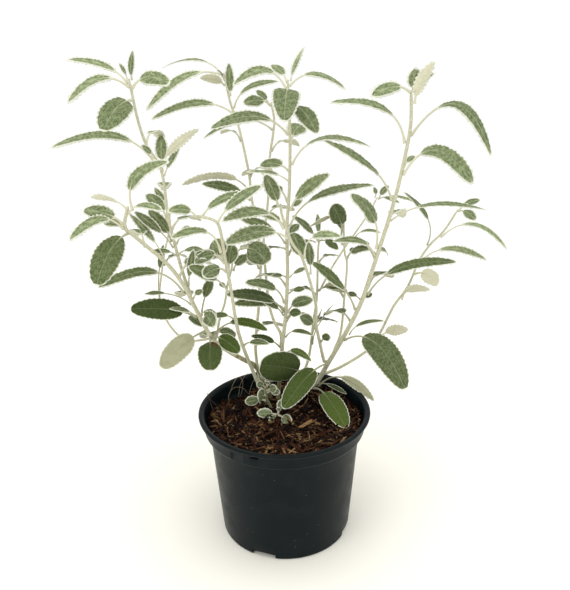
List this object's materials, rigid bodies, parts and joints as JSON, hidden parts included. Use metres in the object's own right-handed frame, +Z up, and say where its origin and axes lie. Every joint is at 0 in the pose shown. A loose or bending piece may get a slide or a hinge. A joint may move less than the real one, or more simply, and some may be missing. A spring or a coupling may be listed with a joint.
{
  "type": "potted silver-leaved shrub",
  "caption": "Young evergreen shrub with white-felted stems and oblong grey-green leaves on long stalks, growing in bark compost in a round black nursery pot.",
  "frame": {"origin": "on the table, at the middle of the pot's underside", "axes": "+Z up, +X to the right and +Y away from someone looking at the plant's front"},
  "size_m": [0.3254, 0.1578, 0.354],
  "materials": {
    "pot_plastic": "satin moulded polypropylene",
    "bark_compost": "damp shredded bark and peat",
    "stem_felt": "cream white felted bark",
    "leaf_felt": "grey-green leaf with fine white felt"
  },
  "bodies": {
    "root": {"compost": "bark_compost", "leaf_back_left_1": "leaf_felt", "leaf_centre_1": "leaf_felt", "leaf_centre_2": "leaf_felt", "leaf_centre_3": "leaf_felt", "leaf_centre_4": "leaf_felt", "leaf_centre_5": "leaf_felt", "leaf_centre_6": "leaf_felt", "leaf_centre_7": "leaf_felt", "leaf_centre_8": "leaf_felt", "leaf_centre_9": "leaf_felt", "leaf_front_centre_1": "leaf_felt", "leaf_front_centre_2": "leaf_felt", "leaf_front_centre_3": "leaf_felt", "leaf_front_left_1": "leaf_felt", "leaf_front_left_2": "leaf_felt", "leaf_front_left_3": "leaf_felt", "leaf_front_left_4": "leaf_felt", "leaf_left_front_1": "leaf_felt", "leaf_left_front_2": "leaf_felt", "leaf_left_front_3": "leaf_felt", "leaf_left_front_4": "leaf_felt", "leaf_left_front_5": "leaf_felt", "leaf_left_front_6": "leaf_felt", "leaf_left_front_7": "leaf_felt", "leaf_left_front_8": "leaf_felt", "leaf_left_front_9": "leaf_felt", "leaf_left_tall_1": "leaf_felt", "leaf_left_tall_2": "leaf_felt", "leaf_left_tall_3": "leaf_felt", "leaf_left_tall_4": "leaf_felt", "leaf_left_tall_5": "leaf_felt", "leaf_right_main_1": "leaf_felt", "leaf_right_main_10": "leaf_felt", "leaf_right_main_11": "leaf_felt", "leaf_right_main_2": "leaf_felt", "leaf_right_main_3": "leaf_felt", "leaf_right_main_4": "leaf_felt", "leaf_right_main_5": "leaf_felt", "leaf_right_main_6": "leaf_felt", "leaf_right_main_7": "leaf_felt", "leaf_right_main_8": "leaf_felt", "leaf_right_main_9": "leaf_felt", "leaf_right_side_1": "leaf_felt", "pot": "pot_plastic", "stem_back_centre": "stem_felt", "stem_back_left": "stem_felt", "stem_back_right": "stem_felt", "stem_back_upright": "stem_felt", "stem_centre": "stem_felt", "stem_far_left": "stem_felt", "stem_front_centre": "stem_felt", "stem_front_left": "stem_felt", "stem_inner_left": "stem_felt", "stem_inner_right": "stem_felt", "stem_left_front": "stem_felt", "stem_left_tall": "stem_felt", "stem_right_main": "stem_felt", "stem_right_side": "stem_felt"}
  },
  "joints": []
}
